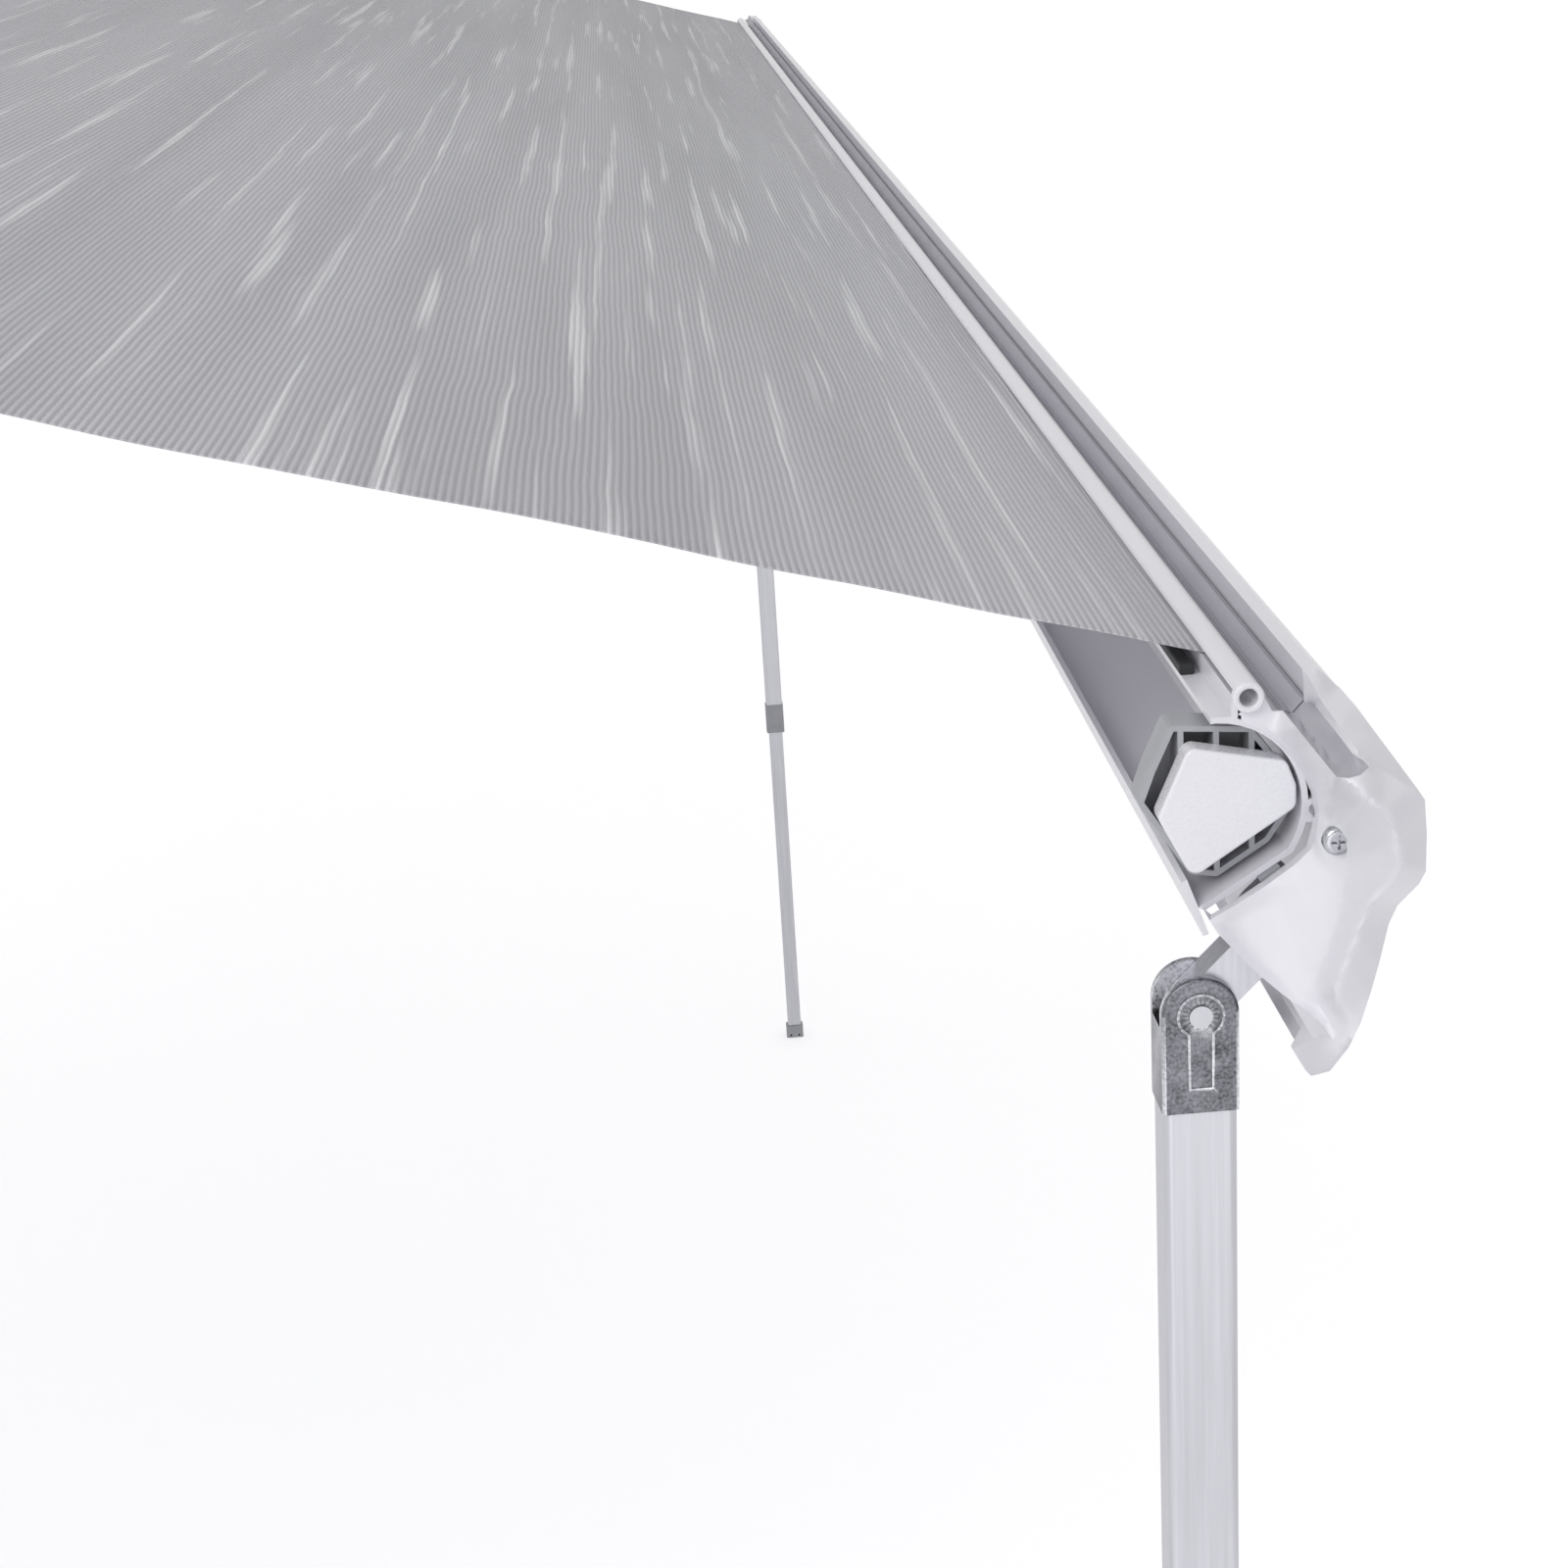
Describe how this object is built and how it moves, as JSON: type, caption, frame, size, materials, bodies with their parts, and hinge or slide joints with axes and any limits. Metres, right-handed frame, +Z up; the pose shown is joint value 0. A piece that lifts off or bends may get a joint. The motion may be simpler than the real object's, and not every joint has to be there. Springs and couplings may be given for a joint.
{
  "type": "roll out awning",
  "caption": "Roll out awning with folding arms, shown open: wall case, roller, fabric, lead rail and two folding legs.",
  "frame": {"origin": "on the wall plane, behind the middle of the case, at the height of the roller's axis", "axes": "+X along the case to the right as seen from in front, +Y into the wall, +Z up"},
  "size_m": [3.612, 2.2677, 2.3955],
  "materials": {
    "white_aluminium": "smooth white powder coat",
    "white_moulding": "satin white moulding",
    "white_enamel": "smooth white moulding",
    "grey_moulding": "fine matte grey moulding",
    "dark_moulding": "matte dark grey moulding",
    "awning_fabric": "light grey ribbed fabric with pale streaks",
    "soft_rubber": "matte dark rubber",
    "mill_aluminium": "mill finish",
    "satin_aluminium": "satin anodised",
    "cast_grey": "grainy die cast",
    "steel": "plated steel"
  },
  "bodies": {
    "case": {"case_profile": "white_aluminium", "wall_brackets": "mill_aluminium", "clamp_screws": "steel", "end_plates": "mill_aluminium", "end_cover_left": "white_moulding", "end_cover_right": "white_moulding", "cover_screws": "steel", "winch_housing": "grey_moulding", "shoulder_brackets": "cast_grey", "shoulder_pins": "steel"},
    "roller": {"roller_tube": "mill_aluminium", "roller_plugs": "grey_moulding", "fabric_roll": "awning_fabric", "worm_wheel": "steel"},
    "winch": {"winch_worm": "steel", "winch_eye": "steel"},
    "upper_arm_left": {"shoulder_casting_left": "cast_grey", "upper_arm_tube_left": "satin_aluminium", "elbow_fork_left": "cast_grey", "arm_spring_left": "steel"},
    "forearm_left": {"elbow_casting_left": "cast_grey", "forearm_tube_left": "satin_aluminium", "wrist_fork_left": "cast_grey", "forearm_pins_left": "steel"},
    "upper_arm_right": {"shoulder_casting_right": "cast_grey", "upper_arm_tube_right": "satin_aluminium", "elbow_fork_right": "cast_grey", "arm_spring_right": "steel"},
    "forearm_right": {"elbow_casting_right": "cast_grey", "forearm_tube_right": "satin_aluminium", "wrist_fork_right": "cast_grey", "forearm_pins_right": "steel"},
    "rail": {"lead_rail": "white_aluminium", "rail_end_cap_left": "white_moulding", "rail_end_cap_right": "white_moulding", "cap_screws": "steel", "closing_guides": "grey_moulding", "guide_covers": "white_enamel", "leg_carriers": "grey_moulding", "swivel_pins": "steel", "bead_rod": "dark_moulding", "rail_gasket": "soft_rubber", "rail_brackets": "cast_grey", "fabric_sheet": "awning_fabric"},
    "stub_left": {"swivel_stub_left": "satin_aluminium"},
    "leg_left": {"knuckle_left": "cast_grey", "knuckle_pin_left": "steel", "leg_outer_tube_left": "satin_aluminium", "leg_collar_left": "grey_moulding"},
    "lever_left": {"clamp_lever_left": "dark_moulding"},
    "inner_leg_left": {"leg_inner_tube_left": "satin_aluminium", "foot_left": "grey_moulding"},
    "stub_right": {"swivel_stub_right": "satin_aluminium"},
    "leg_right": {"knuckle_right": "cast_grey", "knuckle_pin_right": "steel", "leg_outer_tube_right": "satin_aluminium", "leg_collar_right": "grey_moulding"},
    "lever_right": {"clamp_lever_right": "dark_moulding"},
    "inner_leg_right": {"leg_inner_tube_right": "satin_aluminium", "foot_right": "grey_moulding"}
  },
  "joints": [
    {"name": "fold", "type": "hinge", "parent": "case", "child": "upper_arm_left", "pos_m": [-1.19, -0.02052, -0.04086], "axis": [0, -0.2924, 0.9563], "range_deg": [0, 80], "deforming": ["fabric_sheet"]},
    {"name": "elbow_left", "type": "hinge", "parent": "upper_arm_left", "child": "forearm_left", "pos_m": [-1.00065, -1.1053, -0.37251], "axis": [0, -0.2924, 0.9563], "range_deg": [-160, 0]},
    {"name": "rail_pivot", "type": "hinge", "parent": "forearm_left", "child": "rail", "pos_m": [-1.19, -2.19009, -0.70417], "axis": [0, -0.2924, 0.9563], "range_deg": [0, 80]},
    {"name": "shoulder_right", "type": "hinge", "parent": "case", "child": "upper_arm_right", "pos_m": [1.19, -0.02052, -0.04086], "axis": [0, 0.2924, -0.9563], "range_deg": [0, 80]},
    {"name": "elbow_right", "type": "hinge", "parent": "upper_arm_right", "child": "forearm_right", "pos_m": [1.00065, -1.1053, -0.37251], "axis": [0, 0.2924, -0.9563], "range_deg": [-160, 0]},
    {"name": "roller_spin", "type": "hinge", "parent": "case", "child": "roller", "pos_m": [0, -0.062, 0], "axis": [-1, 0, 0], "range_deg": [0, 3840]},
    {"name": "winch_spin", "type": "hinge", "parent": "case", "child": "winch", "pos_m": [1.7123, -0.0383, 0], "axis": [0, 0, -1], "range_deg": [0, 30720]},
    {"name": "swivel_left", "type": "hinge", "parent": "rail", "child": "stub_left", "pos_m": [-1.739, -2.23619, -0.70547], "axis": [0, -0.7071, -0.7071], "range_deg": [0, 90]},
    {"name": "knuckle_turn_left", "type": "hinge", "parent": "stub_left", "child": "leg_left", "pos_m": [-1.739, -2.20649, -0.73516], "axis": [1, 0, 0], "range_deg": [0, 45]},
    {"name": "leg_slide_left", "type": "slide", "parent": "leg_left", "child": "inner_leg_left", "axis": [0, 0, 1], "range_m": [-0.24, 0.53]},
    {"name": "clamp_lever_left", "type": "hinge", "parent": "leg_left", "child": "lever_left", "pos_m": [-1.7518, -2.20649, -1.73256], "axis": [0, -1, 0], "range_deg": [-70, 0]},
    {"name": "swivel_right", "type": "hinge", "parent": "rail", "child": "stub_right", "pos_m": [1.739, -2.23619, -0.70547], "axis": [0, 0.7071, 0.7071], "range_deg": [0, 90]},
    {"name": "knuckle_turn_right", "type": "hinge", "parent": "stub_right", "child": "leg_right", "pos_m": [1.739, -2.20649, -0.73516], "axis": [1, 0, 0], "range_deg": [0, 45]},
    {"name": "leg_slide_right", "type": "slide", "parent": "leg_right", "child": "inner_leg_right", "axis": [0, 0, 1], "range_m": [-0.24, 0.53]},
    {"name": "clamp_lever_right", "type": "hinge", "parent": "leg_right", "child": "lever_right", "pos_m": [1.7518, -2.20649, -1.73256], "axis": [0, 1, 0], "range_deg": [-70, 0]}
  ],
  "couplings": [
    {"joint": "elbow_left", "follows": "fold", "ratio": -2},
    {"joint": "rail_pivot", "follows": "fold", "ratio": 1},
    {"joint": "shoulder_right", "follows": "fold", "ratio": 1},
    {"joint": "elbow_right", "follows": "fold", "ratio": -2},
    {"joint": "roller_spin", "follows": "fold", "ratio": 48},
    {"joint": "winch_spin", "follows": "fold", "ratio": 384},
    {"joint": "knuckle_turn_left", "follows": "swivel_left", "ratio": 0.5},
    {"joint": "knuckle_turn_right", "follows": "swivel_right", "ratio": 0.5}
  ]
}
